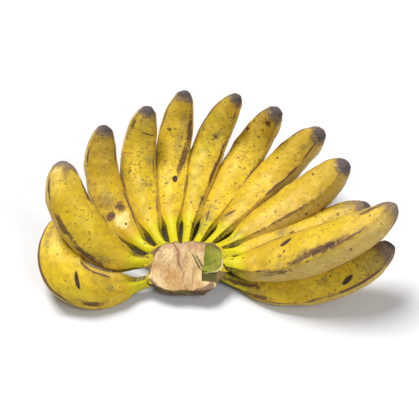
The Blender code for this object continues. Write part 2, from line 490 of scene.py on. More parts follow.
class PeelPaint:
    """The patterns of one peel, and the coats of colour that they lay over each other.

    The class's own numbers are the patterns' clouds in a metre.
    """

    CLOUDS = 36.0
    PATCHES = 95.0
    BREAKS = 150.0
    GRAIN = 330.0
    STRANDS = 640.0
    PORES = 1100.0
    STREAKED = (0.14, 1.0, 1.0)

    def __init__(self, finish: PeelFinish, nodes: Nodes, groups: Groups) -> None:
        """Set up the patterns that the coats share.

        Args:
            finish: the peel's colours and amounts.
            nodes: the material's nodes.
            groups: the shared node groups.
        """
        self.finish, self.nodes, self.groups = finish, nodes, groups
        shift = (finish.seed * 0.37, finish.seed * 0.11, finish.seed * 0.23)
        stored = nodes.attribute("place", "Vector")
        self.place = nodes.stretch(stored, (1.0, 1.0, 1.0), shift)
        self.streak = nodes.stretch(stored, self.STREAKED, shift)
        self.along, self.ridge, self.grime_and_shade = (nodes.attribute(name) for name in ("along", "ridge", "grime_and_shade"))
        self.cloud = nodes.noise(self.place, self.CLOUDS, 3.0)
        self.patches = nodes.noise(self.place, self.PATCHES, 5.0, 0.6)
        self.grain = nodes.noise(self.place, self.GRAIN, 5.0, 0.65)
        self.strands = nodes.noise(self.streak, self.STRANDS, 4.0, 0.6)
        self.coats = Coats(nodes, finish.YELLOW)

    def ragged(self, soft: Value, grain: float, blur: float = 0.15) -> Socket:
        """A soft mask with a ragged edge."""
        return self.nodes.group(self.groups.ragged, Soft=soft, Place=self.place, Grain=grain, Blur=blur)

    def ripen(self) -> None:
        """Lay the yellows, the shaded greens and the tans of the ripe body, with painted shade on the side faces
        and on the neck half.
        """
        finish, lay, span = self.finish, self.coats.lay, self.nodes.span
        lay(finish.PALE, span(self.cloud, 0.36, 0.66))
        lay(finish.AMBER, span(self.patches, 0.46, 0.72), 0.60)
        # painted shade: the neck half is laid darker amber to tone down the light that falls on it
        lay(finish.AMBER, span(self.along, 0.50, 0.15, 0.0, 0.35))
        lay(finish.OLIVE, span(self.patches, 0.30, 0.60), span(self.cloud, 0.62, 0.38), finish.green)
        # dulling and painted light and shade: the amount for each banana makes the whole banana lighter or darker
        lay(finish.OCHRE, span(self.patches, 0.20, 0.60, 0.55, 1.0), finish.dull_and_shade)
        # painted shade: the side faces are laid tan, as faces turned away from the light
        lay(finish.TAN, self.nodes.attribute("flank"), span(self.patches, 0.15, 0.60, 0.70, 1.0), finish.tan)
        lay(finish.TAN, span(self.along, 0.62, 0.98), span(self.cloud, 0.35, 0.65, 0.4, 1.0), 0.5)
        lay(finish.OCHRE, span(self.grain, 0.48, 0.70), 0.55)
        lay(finish.OLIVE, span(self.strands, 0.52, 0.80), 0.30)

    def green_stalk(self) -> None:
        """Lay the greener yellow of the stalk and the painted shade down its sides, where the slots between the
        stalks lie in shadow.
        """
        finish, lay, span = self.finish, self.coats.lay, self.nodes.span
        stalk = self.nodes.attribute("stalk")
        lay(finish.SAP, span(stalk, 0.25, 0.75))
        lay(finish.LEAF, span(stalk, 0.3, 1.0), span(self.strands, 0.40, 0.68, 0.1, 0.6))
        # painted shade: the stalk's sides near the crown go dark brown, so the slots between the stalks look shaded
        lay(finish.SLOT_SHADE, self.nodes.attribute("slot_shade"), span(self.grain, 0.30, 0.65, 0.6, 1.0))

    def freckle(self) -> Value:
        """Scatter the freckles and the brown stains among them.

        Returns:
            The mask of the freckles.
        """
        nodes, finish, lay, span = self.nodes, self.finish, self.coats.lay, self.nodes.span
        crowd = nodes.times(
            span(self.cloud, 0.40, 0.62, 0.15, 1.0), span(self.along, 0.20, 0.60, 0.30, 1.0), finish.freckles
        )
        crowd = nodes.plus(crowd, nodes.times(self.grime_and_shade, 0.6))
        speckle = nodes.group(self.groups.freckles, Place=self.place, Density=crowd)
        lay(finish.BROWN, speckle, 0.78)
        lay(finish.RUSSET, span(self.patches, 0.52, 0.68), span(self.grain, 0.42, 0.60), crowd, 0.75)
        return speckle

    def brown_ridges(self) -> Value:
        """Lay the broken brown lines along the ridges.

        Returns:
            The mask of the lines.
        """
        nodes, finish, lay = self.nodes, self.finish, self.coats.lay
        uneven = nodes.span(self.patches, 0.35, 0.65, 0.2, 1.0)
        lay(finish.OCHRE, nodes.attribute("halo"), uneven, 0.6 * finish.ridge)
        breaks = nodes.span(nodes.noise(self.streak, self.BREAKS, 4.0, 0.65), 0.38, 0.60, 0.05, 1.2)
        worn = nodes.times(self.ridge, breaks, finish.ridge)
        edge = self.ragged(worn, 0.7)
        lay(finish.MAUVE, edge, 0.75)
        lay(finish.BROWN, self.ragged(nodes.times(worn, 0.72), 0.9), 0.85)
        return edge

    def blemish(self) -> Value:
        """Lay the grime, partly painted shade, and the scrapes, bruises and scars.

        Returns:
            The mask of the bruises and scars.
        """
        nodes, finish, lay = self.nodes, self.finish, self.coats.lay
        # grime and painted shade: darkens the marked patches, among them necks that lie in shadow
        lay(finish.GRIME_AND_SHADE, self.ragged(nodes.times(self.grime_and_shade, 0.72), 1.8, 0.30), 0.5)
        scraped = self.ragged(nodes.times(nodes.attribute("scrape"), 0.85), 1.7)
        lay(finish.SCRAPED, scraped, nodes.span(self.grain, 0.3, 0.6, 0.5, 0.95))
        bruise = nodes.attribute("bruise")
        lay(finish.RUSSET, self.ragged(nodes.times(bruise, 1.1), 1.8, 0.25), 0.6)
        bruised = self.ragged(nodes.times(bruise, 0.80), 2.0, 0.12)
        lay(finish.BROWN, bruised, nodes.span(self.grain, 0.3, 0.7, 0.65, 0.95))
        scarred = self.ragged(nodes.attribute("scar"), 0.3, 0.25)
        lay(finish.SCAR, scarred)
        return nodes.most(bruised, scarred)

    def dry_tip(self) -> Value:
        """Lay the russet, ash and soot of the dry tip, which runs a little down the ridges.

        Returns:
            The mask of the ash.
        """
        nodes, finish, lay = self.nodes, self.finish, self.coats.lay
        reach = nodes.span(self.along, 0.985 - 0.12 * finish.tip, 1.005 - 0.025 * finish.tip)
        bordered = nodes.plus(reach, nodes.times(self.ridge, nodes.span(self.along, 0.80, 0.97), 0.5))
        russet = self.ragged(nodes.plus(bordered, 0.20), 1.5, 0.42)
        lay(finish.RUSSET, russet, nodes.span(self.grain, 0.3, 0.6, 0.35, 0.85))
        ash = self.ragged(nodes.times(bordered, 0.80 + 0.25 * finish.tip), 1.7, 0.38)
        lay(finish.ASH, ash, nodes.span(self.grain, 0.3, 0.6, 0.60, 0.95))
        soot = self.ragged(nodes.times(nodes.span(self.along, 0.955, 1.005), 0.9), 1.6, 0.25)
        lay(finish.SOOT, soot, 0.85)
        return ash


@dataclass(frozen=True)
class Mark:
    """One blemish on a peel, as an ellipse on the unrolled skin.

    Attributes:
        kind: what it is.
        along: its middle, as a share of the banana's length.
        around: its middle, as a share of the way round, from the middle of the inner face.
        length: its length along the banana, in millimetres.
        breadth: its breadth round the banana, in millimetres.
        lean: degrees that its long side leans away from the banana's own line.
    """

    kind: MarkKind
    along: float
    around: float
    length: float
    breadth: float
    lean: float = 0.0


@dataclass(frozen=True)
class Spine:
    """A banana's middle line, sampled at its rings.

    Attributes:
        length: the whole length, in metres.
        share: each ring's share of the length.
        station: the same share, stretched so that every stalk ends at one station.
        centre: each ring's middle.
        along: unit vectors along the line.
        inner: unit vectors towards the inner face.
        side: unit vectors across it.
    """

    length: float
    share: np.ndarray
    station: np.ndarray
    centre: np.ndarray
    along: np.ndarray
    inner: np.ndarray
    side: np.ndarray


@dataclass(frozen=True)
class Banana:
    """One banana with its stalk: a rounded five-sided section carried along a cubic curve.

    Attributes:
        node: the frame's node that this banana stands for.
        root: where the stalk leaves the crown, across, back and up from the crown's middle, in millimetres.
        lead: the plan angle at which the stalk sets off.
        belly: where the middle of the body lies, as degrees round the crown, reach and height in millimetres.
        tip: where the tip lies, given like the belly.
        width: the greatest breadth, in millimetres.
        finish: its peel.
        stalk: the share of the length that the stalk takes up.
        roll: degrees that the section is turned about the banana's line.
        twist: degrees that it turns further from root to tip.
        marks: its blemishes.
    """

    node: str
    root: Spot
    lead: float
    belly: Spot
    tip: Spot
    width: float
    finish: PeelFinish
    stalk: float = 0.175
    roll: float = 0.0
    twist: float = 0.0
    marks: tuple[Mark, ...] = ()

    LEAD_LENGTH = 44 * MM
    LEAD_DROOP = 20.0
    STALK_DEPTH = 0.80
    STALK_END = 0.175
    BODY_DEPTH = 0.96
    NECK_FLARE = 0.45
    ROWS = 250
    TIP_ROWS = 46
    TIP_START = 0.93
    TIP_SHARE = 0.07
    PER_SIDE = 15
    STATIONS = (0.0, 0.09, 0.175, 0.25, 0.36, 0.50, 0.64, 0.77, 0.88, 0.955, 0.98, 1.0)
    FULLNESS = (0.31, 0.27, 0.31, 0.58, 0.85, 0.98, 1.0, 0.94, 0.80, 0.575, 0.44, 0.22)
    SECTION = (
        (0.00, 0.84),
        (0.90, 0.46),
        (0.98, -0.04),
        (0.74, -0.58),
        (0.00, -0.96),
        (-0.74, -0.58),
        (-0.98, -0.04),
        (-0.90, 0.46),
    )
    RIDGES = (1, 3, 4, 5, 7)
    FLANKS = ((0.95, 1.35), (6.65, 7.05))
    SAMPLES = 2001
    WINDOW = 121
    MARK_EDGES = {
        MarkKind.SCAR: (0.6, 1.4),
        MarkKind.BRUISE: (0.1, 1.9),
        MarkKind.SCRAPE: (0.2, 1.8),
        MarkKind.GRIME_AND_SHADE: (0.0, 1.7),
    }

    def setting_off(self) -> np.ndarray:
        """The unit vector along which the stalk leaves the crown."""
        return tilted(self.lead, -self.LEAD_DROOP)

    def curve(self) -> np.ndarray:
        """Points along the middle line.

        The formula is a cubic Bezier curve whose third control point is solved so that it passes through the belly.

        Returns:
            Points from inside the crown to the tip.
        """
        root = MIDDLE + np.array(self.root) * MM
        belly, tip = (
            MIDDLE + reach * MM * plan(degrees) + height * MM * UP
            for degrees, reach, height in (self.belly, self.tip)
        )
        first = root + self.LEAD_LENGTH * self.setting_off()
        near, far = np.linalg.norm(belly - root), np.linalg.norm(tip - belly)
        t = near / (near + far)
        second = belly - (1 - t) ** 3 * root - 3 * (1 - t) ** 2 * t * first - t**3 * tip
        second /= 3 * (1 - t) * t**2
        t = np.linspace(0.0, 1.0, 400)[:, None]
        return (1 - t) ** 3 * root + 3 * (1 - t) ** 2 * t * first + 3 * (1 - t) * t**2 * second + t**3 * tip

    def section(self, crisp: np.ndarray) -> tuple[np.ndarray, np.ndarray, np.ndarray]:
        """The five-sided outline.

        The formula is a closed cubic B-spline through the corner points, drawn towards the straight polygon by a
        bell curve round each ridge.

        Args:
            crisp: how sharp the ridges are at each ring, from 0 to 1.

        Returns:
            Points of the outline at each ring, their nearness to a ridge, and the same with a wider bell.
        """
        random = np.random.default_rng(self.finish.seed)
        corners = np.array(self.SECTION) * random.uniform(0.95, 1.05, (len(self.SECTION), 1))
        count = len(corners)
        turn = np.arange(count * self.PER_SIDE) / self.PER_SIDE
        whole = np.floor(turn).astype(int)
        before, here, after, beyond = (corners[(whole + k) % count] for k in (-1, 0, 1, 2))
        t = (turn % 1.0)[:, None]
        spline = (
            (1 - t) ** 3 * before
            + (3 * t**3 - 6 * t**2 + 4) * here
            + (-3 * t**3 + 3 * t**2 + 3 * t + 1) * after
            + t**3 * beyond
        ) / 6.0
        polygon = here * (1 - t) + after * t
        gaps = np.abs(turn[:, None] - np.array((*self.RIDGES, *(r + count for r in self.RIDGES), -1.0)))
        nearest = gaps.min(axis=1)
        drawn = (crisp[:, None] * bell(nearest, 0.36)[None, :])[..., None]
        return spline * (1 - drawn) + polygon * drawn, bell(nearest, 0.11), bell(nearest, 0.34)

    def mark_values(self, share: np.ndarray, around: np.ndarray, length: float) -> dict[str, np.ndarray]:
        """Soft masks of the blemishes, one for each kind.

        Args:
            share: each ring's place along the banana.
            around: each column's place round it.
            length: the banana's length, in metres.

        Returns:
            A mask for each kind, 1 inside a mark's ellipse and 0 outside it.
        """
        girth = 2.0 * math.pi * 0.45 * self.width
        masks = {kind.value: np.zeros((len(share), len(around))) for kind in MarkKind}
        for mark in self.marks:
            down = (share - mark.along)[:, None] * length / MM
            over = ((around - mark.around + 0.5) % 1.0 - 0.5)[None, :] * girth
            lean = math.radians(mark.lean)
            x = down * math.cos(lean) + over * math.sin(lean)
            y = over * math.cos(lean) - down * math.sin(lean)
            reach = np.sqrt((2 * x / mark.length) ** 2 + (2 * y / mark.breadth) ** 2)
            mask = masks[mark.kind.value]
            np.maximum(mask, 1.0 - ease(*self.MARK_EDGES[mark.kind], reach), out=mask)
        return masks

    def spine(self) -> Spine:
        """Sample the middle line at the rings, which lie closer together at the tip.

        Returns:
            The line, with the directions that the section is laid along.
        """
        path = self.curve()
        run = np.concatenate(([0.0], np.cumsum(np.linalg.norm(np.diff(path, axis=0), axis=1))))
        length = run[-1]
        tip_rows = self.TIP_START + self.TIP_SHARE * np.sin(np.linspace(0.02, 1.0, self.TIP_ROWS) * math.pi / 2)
        share = np.concatenate((np.linspace(0.0, self.TIP_START, self.ROWS - self.TIP_ROWS), tip_rows))
        station = np.interp(share, (0.0, self.stalk, 1.0), (0.0, self.STALK_END, 1.0))
        centre = np.stack([np.interp(share * length, run, path[:, k]) for k in range(3)], axis=1)
        along = np.gradient(centre, share, axis=0)
        along /= np.linalg.norm(along, axis=1)[:, None]
        outward = (path[-1] - path[0]) * (1, 1, 0)
        hollow = UP - outward / np.linalg.norm(outward)
        inner = hollow - (along @ hollow)[:, None] * along
        inner /= np.linalg.norm(inner, axis=1)[:, None]
        side = np.cross(along, inner)
        turn = np.radians(self.roll + self.twist * (share - 0.5))[:, None]
        inner, side = inner * np.cos(turn) + side * np.sin(turn), side * np.cos(turn) - inner * np.sin(turn)
        return Spine(length, share, station, centre, along, inner, side)

    def girth(self, station: np.ndarray) -> tuple[np.ndarray, np.ndarray]:
        """Half the width and half the depth of the section.

        The formula smooths the table of fullness by a rounded window, closes it at the tip like an ellipse, and
        narrows it at the root, inside the crown.

        Args:
            station: each ring's station.

        Returns:
            Both halves for each ring, in metres.
        """
        dense = np.linspace(0.0, 1.0, self.SAMPLES)
        full = np.interp(dense, self.STATIONS, self.FULLNESS)
        kernel = np.hanning(self.WINDOW) / np.hanning(self.WINDOW).sum()
        padded = np.pad(full, self.WINDOW // 2, mode="reflect", reflect_type="odd")
        full = np.convolve(padded, kernel, mode="valid")
        full = np.interp(station, dense, full) * np.sqrt(np.clip(1.0 - ease(0.984, 1.012, station) ** 2, 0.0, 1.0))
        half = 0.5 * self.width * MM * full * (0.35 + 0.65 * ease(0.0, 0.06, station))
        return half, half * (self.STALK_DEPTH + (self.BODY_DEPTH - self.STALK_DEPTH) * ease(0.15, 0.28, station))

    def outlines(self, spine: Spine) -> tuple[np.ndarray, np.ndarray, np.ndarray]:
        """The outline of each ring: five-sided along the body, rounder at the stalk and tip.

        The formula mixes the outline with an oval, and widens its outer half where the body begins.

        Args:
            spine: the middle line.

        Returns:
            Points of each ring for a section of half width 1, their nearness to a ridge, and the same with a wider
            bell.
        """
        station = spine.station
        worn = 0.5 + 0.5 * ripples(spine.centre, 30 * MM, self.finish.seed + 70)
        outline, ridge, halo = self.section(0.55 + 0.35 * worn)
        angle = np.arctan2(outline[..., 1], outline[..., 0])
        oval = 0.86 * np.stack((np.cos(angle), np.sin(angle)), axis=-1)
        angular = (ease(0.17, 0.32, station) * (1.0 - 0.75 * ease(0.90, 0.99, station)))[:, None, None]
        shape = oval + (outline - oval) * (0.45 + 0.55 * angular)
        flare = self.NECK_FLARE * bell(station - 0.19, 0.10)[:, None] * ease(0.25, -0.45, shape[..., 1])
        return shape * np.stack((1.0 + flare, np.ones_like(flare)), axis=-1), ridge, halo

    def uneven(self, rings: np.ndarray, out: np.ndarray, station: np.ndarray) -> np.ndarray:
        """Swell and pinch the body a little, and keep it above the table.

        Args:
            rings: points of the even surface.
            out: how far each lies from the middle line.
            station: each ring's station.

        Returns:
            The moved points.
        """
        seed = self.finish.seed
        unit = out / np.maximum(np.linalg.norm(out, axis=2, keepdims=True), 1e-9)
        swell = 0.45 * ripples(rings, 36 * MM, seed) + 0.14 * ripples(rings, 10 * MM, seed + 9)
        swell += ease(0.93, 0.99, station)[:, None] * 0.35 * ripples(rings, 5 * MM, seed + 3)
        rings = rings + unit * (swell * MM * ease(0.1, 0.3, station)[:, None])[..., None]
        rings[..., 2] = np.maximum(rings[..., 2], 0.0)
        return rings

    def skin(self) -> Skin:
        """The lofted surface with the values that its peel reads.

        The formula is centre + side * half width * across + inner * half depth * inward.

        Returns:
            The closed skin.
        """
        spine = self.spine()
        station = spine.station
        half, depth = self.girth(station)
        shape, ridge, halo = self.outlines(spine)
        wide, deep = half[:, None] * shape[..., 0], depth[:, None] * shape[..., 1]
        out = spine.side[:, None] * wide[..., None] + spine.inner[:, None] * deep[..., None]
        rings = self.uneven(spine.centre[:, None] + out, out, station)

        around = np.arange(len(ridge)) / len(ridge)
        run = np.broadcast_to((spine.share * spine.length)[:, None], wide.shape)
        body = ease(0.20, 0.34, station)[:, None]
        values = {
            "place": np.stack((run, wide, deep), axis=-1),
            "along": np.broadcast_to(spine.share[:, None], wide.shape),
            "stalk": np.broadcast_to(1.0 - ease(0.12, 0.32, station)[:, None], wide.shape),
            "ridge": ridge[None, :] * (0.25 + 0.75 * body),
            "halo": halo[None, :] * body,
            # flank marks the side faces that the peel paints tan as painted shade
            "flank": plateau((around * len(self.SECTION))[None, :], *self.FLANKS) * body,
            # painted shade on the stalk's sides near the root, for the shaded slots between the stalks
            "slot_shade": ease(0.66, 0.84, np.abs(shape[..., 0])) * (1.0 - ease(0.16, 0.30, station)[:, None]),
            **self.mark_values(spine.share, around, spine.length),
        }
        poles = np.stack((spine.centre[0], spine.centre[-1] + spine.along[-1] * 0.4 * MM))
        return Skin(f"{self.node}_peel", rings, poles, values)

    def dress(self, groups: Groups) -> bpy.types.Object:
        """Build the banana, give it its peel and let it stand for its node.

        Args:
            groups: the shared node groups.

        Returns:
            The finished piece.
        """
        made = self.skin().build()
        made.data.materials.append(self.finish.build(f"{self.node}_peel", groups))
        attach(made, "root")
        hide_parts(self.node)
        return made


@dataclass(frozen=True)
class Cut:
    """One flat knife cut: a point on it from the crown's middle, and the way it faces."""

    point: Spot
    facing: float
    elevation: float

    def normal(self) -> np.ndarray:
        """The unit vector that the cut faces."""
        return tilted(self.facing, self.elevation)

    def distance(self, core: np.ndarray, way: np.ndarray) -> np.ndarray:
        """The distance from the core to the cut, or a metre where it lies the other way.

        Args:
            core: the core, from the crown's middle.
            way: unit vectors away from it.

        Returns:
            A distance for each of them.
        """
        facing = way @ self.normal()
        offset = (np.array(self.point) - core) @ self.normal()
        return np.where(facing > 1e-4, offset / np.maximum(facing, 1e-4), 1.0)


@dataclass(frozen=True)
class CrownFinish:
    """The cut faces and the skin of the crown."""

    STRAW = (0.52, 0.295, 0.100)
    CREAM = (0.76, 0.55, 0.28)
    RUST = (0.30, 0.130, 0.055)
    BLUSH = (0.42, 0.235, 0.145)
    BARK = (0.13, 0.065, 0.045)
    MOSS = (0.17, 0.185, 0.014)
    LIME = (0.33, 0.32, 0.045)
    # dark olive: painted shade on the facet under the green cut and in the slits, and flecks on the skin
    OLIVE = (0.085, 0.085, 0.018)
    SAP = (0.60, 0.48, 0.006)
    HUSK = (0.22, 0.145, 0.060)
    PITH = (0.80, 0.64, 0.38)
    SPECULAR = 0.22
    BUMP_STRENGTH = 0.75
    BUMP_DEPTH = 0.6 * MM

    def build(self, groups: Groups) -> bpy.types.Material:
        """Make the crown's material.

        Args:
            groups: the shared node groups.

        Returns:
            The material, which reads the values stored on the crown's points.
        """
        made = bpy.data.materials.new("cut_crown")
        made.use_nodes = True
        nodes = Nodes(made.node_tree)
        paint = CrownPaint(self, nodes, groups)
        coats = Coats(nodes, nodes.mix(paint.ragged("main", 0.3), paint.bark(), paint.torn_face()))
        # painted shade: the facet under the green cut, which lies in shadow, is laid dark olive
        coats.lay(self.OLIVE, paint.ragged("shaded_facet", 0.7), 0.9)
        coats.lay(paint.green_face(), paint.ragged("green", 0.35))
        coats.lay(self.CREAM, paint.ragged("lip", 1.2), 0.85)
        coats.lay(self.BARK, paint.ragged("rim", 1.3), 0.75)
        coats.lay(self.PITH, paint.ragged("edge", 0.5), 0.85)
        surface = made.node_tree.nodes["Principled BSDF"]
        nodes.plug(surface.inputs["Base Color"], coats.colour)
        nodes.plug(surface.inputs["Roughness"], nodes.span(paint.fibre, 0.3, 0.7, 0.62, 0.85))
        surface.inputs["Specular IOR Level"].default_value = self.SPECULAR
        height = nodes.weighted((paint.fibre, 0.9), (paint.band, 0.8), (paint.flecks, 0.5))
        nodes.plug(surface.inputs["Normal"], nodes.bump(height, self.BUMP_STRENGTH, self.BUMP_DEPTH))
        return made


class CrownPaint:
    """The patterns of the crown, and the coats of colour on each kind of its surface.

    The class's own numbers are the patterns' clouds in a metre.
    """

    BROAD = 38.0
    BENDS = 45.0
    CLOUDS = 90.0
    BANDS = 190.0
    VEINS = 330.0
    FLECKS = 480.0
    PORES = 620.0
    FIBRES = 1100.0

    def __init__(self, finish: CrownFinish, nodes: Nodes, groups: Groups) -> None:
        """Set up the patterns that the coats share.

        Args:
            finish: the crown's colours.
            nodes: the material's nodes.
            groups: the shared node groups.
        """
        self.finish, self.nodes, self.groups = finish, nodes, groups
        self.solid = nodes.add("ShaderNodeTexCoord").outputs["Object"]
        straight = nodes.stretch(nodes.attribute("face", "Vector"), (1.0, 0.07, 0.6))
        self.bent = nodes.warp(straight, nodes.noise(self.solid, self.BENDS, 2.0), (9.0 * MM, 0.0, 0.0))
        self.fibre = nodes.noise(self.bent, self.FIBRES, 5.0, 0.7)
        self.band = nodes.noise(self.bent, self.BANDS, 4.0, 0.6)
        self.cloud = nodes.noise(self.solid, self.CLOUDS, 4.0)
        self.flecks = nodes.noise(self.solid, self.FLECKS, 5.0, 0.7)

    def ragged(self, value: str, grain: float) -> Socket:
        """A stored soft mask with a ragged edge."""
        soft = self.nodes.attribute(value)
        return self.nodes.group(self.groups.ragged, Soft=soft, Place=self.solid, Grain=grain, Blur=0.2)

    def torn_face(self) -> Value:
        """The colour of the fibrous knife face.

        Returns:
            The colour after its last coat.
        """
        nodes, finish, span = self.nodes, self.finish, self.nodes.span
        coats = Coats(nodes, finish.STRAW)
        coats.lay(finish.CREAM, span(nodes.noise(self.solid, self.BROAD, 3.0), 0.38, 0.60))
        coats.lay(finish.PITH, span(self.fibre, 0.42, 0.70), 0.45)
        coats.lay(finish.RUST, span(self.fibre, 0.52, 0.34), 0.35)
        coats.lay(finish.RUST, span(self.band, 0.50, 0.68), span(self.cloud, 0.35, 0.60), 0.60)
        coats.lay(finish.LIME, span(nodes.noise(self.bent, self.VEINS, 2.0), 0.60, 0.74), 0.35)
        coats.lay(finish.BLUSH, self.ragged("blush", 2.2), 0.58)
        pitted = span(nodes.noise(self.solid, self.PORES, 2.0, 0.5), 0.56, 0.66)
        coats.lay(finish.BARK, nodes.attribute("pores"), pitted, 0.8)
        coats.lay(finish.RUST, self.ragged("crack", 2.0), 0.80)
        # painted shade: the slits are laid dark olive as deep hollows in shadow
        coats.lay(finish.OLIVE, self.ragged("shaded_slit", 0.5), 0.85)
        return coats.colour

    def bark(self) -> Value:
        """The colour of the uncut skin, yellower at the stalks' necks.

        Returns:
            The colour after its last coat.
        """
        finish, span = self.finish, self.nodes.span
        coats = Coats(self.nodes, finish.HUSK)
        coats.lay(finish.BARK, span(self.cloud, 0.42, 0.60))
        coats.lay(finish.OLIVE, span(self.flecks, 0.42, 0.62), 0.4)
        coats.lay(finish.SAP, self.nodes.attribute("neck"), span(self.flecks, 0.62, 0.42, 0.4, 1.0))
        return coats.colour

    def green_face(self) -> Value:
        """The colour of the small green cut.

        Returns:
            The colour after its last coat.
        """
        finish, span = self.finish, self.nodes.span
        coats = Coats(self.nodes, finish.MOSS)
        coats.lay(finish.LIME, span(self.cloud, 0.38, 0.62))
        coats.lay(finish.MOSS, span(self.flecks, 0.45, 0.62), 0.4)
        return coats.colour


class CrownFace:
    """The crown laid flat on its main cut, and the shapes that are drawn there, all in millimetres.

    Each side of the cut's outline is given by the two parts of its outward normal and one point on it.
    """

    SIDES = (
        (-0.896, -0.446, -19.8, -18.0),
        (-1.0, 0.0, -31.0, 0.0),
        (-0.572, 0.820, -31.0, 10.0),
        (0.0, 1.0, 0.0, 22.6),
        (0.490, 0.871, 8.8, 22.6),
    )
    GREEN_START = 20.5
    LEAF_MIDDLE = -11.0
    LEAF_SIZE = (17.0, 13.0)
    CRACK_START = -18.0
    LIP_BREADTH = 6 * MM

    def __init__(self, s: np.ndarray, t: np.ndarray, on_top: np.ndarray) -> None:
        """Work out the outlines of the main cut and of the green cut.

        Args:
            s: how far each point of the crown lies across the main cut, to the right of its middle.
            t: how far it lies down the cut.
            on_top: whether it lies on one of the two upper cuts.
        """
        self.s, self.t, self.on_top = s, t, on_top
        self.wander = ripples(self.flat(1.0), 9.0, 31)
        beyond = [sin * (s - at_s) + cos * (t - at_t) for sin, cos, at_s, at_t in self.SIDES]
        self.beyond = np.max(beyond, axis=0) + 0.5 * self.wander
        wide, deep = self.LEAF_SIZE
        past = np.maximum(s - self.GREEN_START + 0.5 * self.wander, 0.0)
        self.leaf = np.sqrt(past**2 / wide**2 + (t - self.LEAF_MIDDLE) ** 2 / deep**2)
        self.main = on_top & (s < self.GREEN_START + 0.5 * self.wander) & (self.beyond < 0.0)
        self.green = on_top & ~self.main & (self.leaf < 1.0) & (s > 15.0)
        # painted shade: the facet under the green cut is painted dark olive and sunk, as the crown's underside in
        # shadow
        self.shaded_facet = plateau(s, (19.5, 21.5), (33.0, 35.0)) * plateau(t, (-1.0, 1.5), (8.0, 10.5))
        self.lip = plateau(s, (17.0, 22.0), (31.0, 35.0)) * ease(8.5, 10.0, t)
        self.crack, self.shaded_slit = self._crack(), self._shaded_slit()

    def flat(self, share: float) -> np.ndarray:
        """Coordinates for ripples that run down the cut, squeezed there to this share."""
        return np.stack((self.s, share * self.t, 0 * self.s), axis=-1)

    def _crack(self) -> np.ndarray:
        """The long crack down the main cut, and the finer one beside its lower end.

        Returns:
            A mask, 1 in the middle of a crack.
        """
        s, t, down = self.s, self.t, self.t - self.CRACK_START
        line = -6.0 + 0.36 * down + 1.2 * np.sin(t / 3.3)
        crack = bell(s - line, 1.5 - 0.03 * down) * (1.0 - 0.55 * ease(-4.0, 6.0, t))
        finer = 2.0 + 0.2 * t + 0.7 * np.sin(t / 2.2)
        return np.maximum(crack, 0.8 * bell(s - finer, 0.6) * ease(-2.0, 2.0, t)) * self.main

    def _shaded_slit(self) -> np.ndarray:
        """The two slits side by side at the right of the main cut: real grooves, painted dark as shade.

        Returns:
            A mask, 1 in the middle of a slit.
        """
        line = 15.5 + 0.72 * (self.t + 8.5)
        return bell(np.abs(self.s - line) - 1.7, 1.05) * plateau(self.t, (-17.5, -13.0), (-3.0, 1.0)) * self.main

    def relief(self, border: np.ndarray) -> np.ndarray:
        """How far the surface stands out from its smooth cuts.

        Args:
            border: how far each point lies behind the next surface, in metres, which is 0 on an edge.

        Returns:
            A height for each point, in millimetres.
        """
        fibres = ripples(self.flat(0.05), 2.4, 5, 14)
        torn = ripples(self.flat(0.35), 7.0, 6, 9)
        relief = self.main * (0.36 * fibres + 0.75 * torn - 1.2 * self.crack - 1.6 * self.shaded_slit)
        relief -= np.clip(0.7 * self.beyond, 0.0, 3.0) * self.on_top * (self.s < 15.0)
        relief -= 1.4 * self.green * (1.0 - ease(0.85, 1.0, self.leaf)) + 3.2 * self.shaded_facet
        return relief + 1.4 * self.lip * (border < self.LIP_BREADTH)

    def values(self) -> dict[str, np.ndarray]:
        """The masks that the crown's finish reads.

        Returns:
            A mask for each name.
        """
        s, t, leaf, beyond, on_top = self.s, self.t, self.leaf, self.beyond, self.on_top
        warm = bell(s - (-5.0 + 0.34 * (t - self.CRACK_START)), 4.5) * ease(8.0, -2.0, t)
        fringe = (s < 30.0) * ease(-6.0, 2.0, t) * bell(beyond - 0.4, 3.0)
        return {
            "main": self.main.astype(float),
            "green": self.green.astype(float),
            "edge": 0.7 * on_top * bell(leaf - 1.0, 0.06) * ease(22.0, 27.0, s) * ease(-20.0, -10.0, t),
            "shaded_facet": self.shaded_facet * on_top,
            "lip": self.lip * on_top,
            "rim": on_top * (fringe + 0.5 * bell(beyond, 1.2)),
            "crack": self.crack,
            "shaded_slit": self.shaded_slit,
            "pores": bell(s + 14.0, 8.0) * bell(t + 8.0, 10.0) * self.main,
            "blush": 0.80 * (1.0 - ease(-25.0, -13.0, t + 4.0 * self.wander)) + 0.95 * warm,
        }


